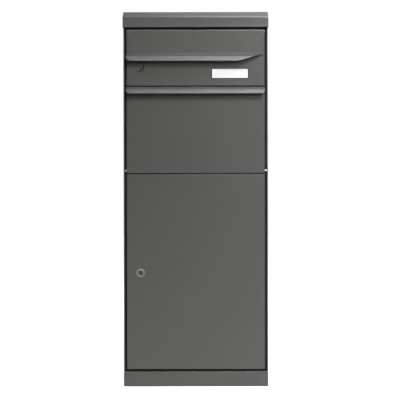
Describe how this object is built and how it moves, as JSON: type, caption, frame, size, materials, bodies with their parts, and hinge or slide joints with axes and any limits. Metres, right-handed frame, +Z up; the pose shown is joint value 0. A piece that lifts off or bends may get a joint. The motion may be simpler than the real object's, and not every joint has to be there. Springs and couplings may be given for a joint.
{
  "type": "letter and parcel box",
  "caption": "Free-standing steel letter and parcel box: lift-up letter flap in a side-hinged letter door, tilting parcel hatch and tall lower parcel door.",
  "frame": {"origin": "middle of the footprint at floor level", "axes": "+X to the right, front faces -Y, +Z up"},
  "size_m": [0.4, 0.35, 1.03],
  "materials": {
    "powder_coat": "fine-textured anthracite grey powder coat",
    "dark_paint": "matt dark grey paint inside the door gaps",
    "zinc_steel": "zinc-coated sheet steel",
    "bright_steel": "plain turned steel",
    "lock_metal": "nickel-plated lock metal",
    "rubber": "black rubber",
    "white_plastic": "white moulded plastic",
    "card": "blank white card",
    "clear_plastic": "clear acrylic"
  },
  "bodies": {
    "cabinet": {"left_side_panel": "powder_coat", "right_side_panel": "powder_coat", "back_panel": "powder_coat", "roof_cap": "powder_coat", "roof_screws": "zinc_steel", "plinth_front": "powder_coat", "base_plate": "zinc_steel", "parcel_floor": "zinc_steel", "anchor_hole_plugs": "rubber", "left_jamb": "dark_paint", "right_jamb": "dark_paint", "letter_floor": "zinc_steel", "mid_rail": "dark_paint", "top_rail": "dark_paint", "lower_rail": "dark_paint", "hatch_pivot_pins": "bright_steel", "letter_hinge_brackets": "zinc_steel", "parcel_hinge_brackets": "zinc_steel", "strike_plates": "zinc_steel", "door_bumpers": "rubber"},
    "letter_door": {"letter_door_panel": "powder_coat", "flap_end_brackets": "powder_coat", "flap_rod": "bright_steel", "letter_slot_frame": "dark_paint", "slot_baffle": "zinc_steel", "nameplate_holder": "white_plastic", "nameplate_card": "card", "nameplate_window": "clear_plastic", "letter_lock_body": "lock_metal", "letter_lock_nut": "zinc_steel", "letter_hinge_lugs": "zinc_steel", "letter_hinge_pins": "bright_steel"},
    "flap": {"letter_flap": "powder_coat", "flap_bumpers": "rubber"},
    "letter_lock": {"letter_lock_plug": "lock_metal", "letter_lock_cam": "zinc_steel", "letter_cam_screw": "zinc_steel"},
    "parcel_hatch": {"hatch_panel": "powder_coat", "hatch_lip": "powder_coat", "hatch_left_cheek": "powder_coat", "hatch_right_cheek": "powder_coat", "hopper_plate": "zinc_steel"},
    "parcel_door": {"parcel_door_panel": "powder_coat", "parcel_door_stiffeners": "zinc_steel", "parcel_lock_body": "lock_metal", "parcel_lock_nut": "zinc_steel", "parcel_hinge_lugs": "zinc_steel", "parcel_hinge_pins": "bright_steel"},
    "parcel_lock": {"parcel_lock_plug": "lock_metal", "parcel_lock_cam": "zinc_steel", "parcel_cam_screw": "zinc_steel"}
  },
  "joints": [
    {"name": "letter_door_hinge", "type": "hinge", "parent": "cabinet", "child": "letter_door", "pos_m": [0.186, -0.15, 0.87], "axis": [0, 0, 1], "range_deg": [0, 90]},
    {"name": "letter_flap_hinge", "type": "hinge", "parent": "letter_door", "child": "flap", "pos_m": [0, -0.1495, 0.9773], "axis": [-1, 0, 0], "range_deg": [0, 70]},
    {"name": "letter_lock_turn", "type": "hinge", "parent": "letter_door", "child": "letter_lock", "pos_m": [-0.152, -0.15, 0.877], "axis": [0, 1, 0], "range_deg": [0, 90]},
    {"name": "hatch_tilt", "type": "hinge", "parent": "cabinet", "child": "parcel_hatch", "pos_m": [0, -0.1484, 0.594], "axis": [1, 0, 0], "range_deg": [0, 45]},
    {"name": "parcel_door_hinge", "type": "hinge", "parent": "cabinet", "child": "parcel_door", "pos_m": [0.186, -0.15, 0.315], "axis": [0, 0, 1], "range_deg": [0, 100]},
    {"name": "parcel_lock_turn", "type": "hinge", "parent": "parcel_door", "child": "parcel_lock", "pos_m": [-0.152, -0.15, 0.313], "axis": [0, 1, 0], "range_deg": [0, 90]}
  ]
}
